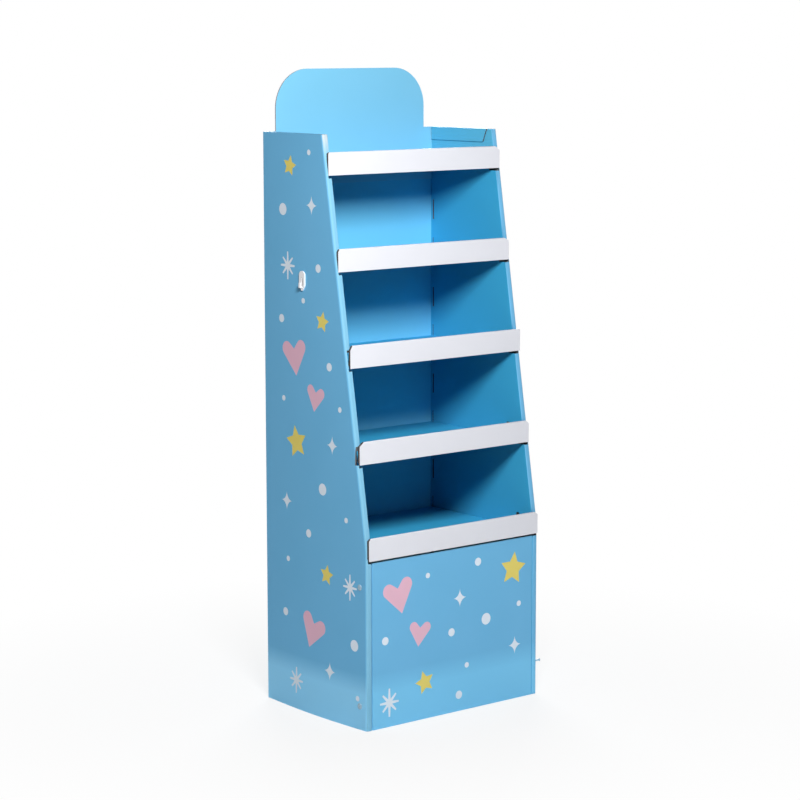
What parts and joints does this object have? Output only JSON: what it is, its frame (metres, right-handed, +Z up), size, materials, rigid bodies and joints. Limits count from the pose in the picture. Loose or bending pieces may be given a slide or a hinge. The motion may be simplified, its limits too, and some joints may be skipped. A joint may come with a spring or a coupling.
{
  "type": "cardboard display stand",
  "caption": "Free-standing display stand of printed corrugated board: a closed base, stepped open shelves with folded front lips, hollow side walls and a rounded header card.",
  "frame": {"origin": "bottom centre of the whole outline, on the floor", "axes": "+Z up, -Y to the front where the goods are taken out, +X to the viewer's right from the front"},
  "size_m": [0.53, 0.3738, 1.434],
  "materials": {
    "printed_board": "satin",
    "white_board": "satin",
    "clear_plastic": "gloss",
    "white_plastic": "satin"
  },
  "bodies": {
    "root": {"body_shell": "printed_board", "front_panel": "printed_board", "header_card": "printed_board", "shelf_1": "white_board", "shelf_2": "white_board", "shelf_3": "white_board", "shelf_4": "white_board", "shelf_5": "white_board", "rivet_left_lower_socket": "clear_plastic", "rivet_left_lower_pin": "clear_plastic", "rivet_left_upper_socket": "clear_plastic", "rivet_left_upper_pin": "clear_plastic", "rivet_right_lower_socket": "clear_plastic", "rivet_right_lower_pin": "clear_plastic", "rivet_right_upper_socket": "clear_plastic", "rivet_right_upper_pin": "clear_plastic", "side_hook": "white_plastic"}
  },
  "joints": []
}
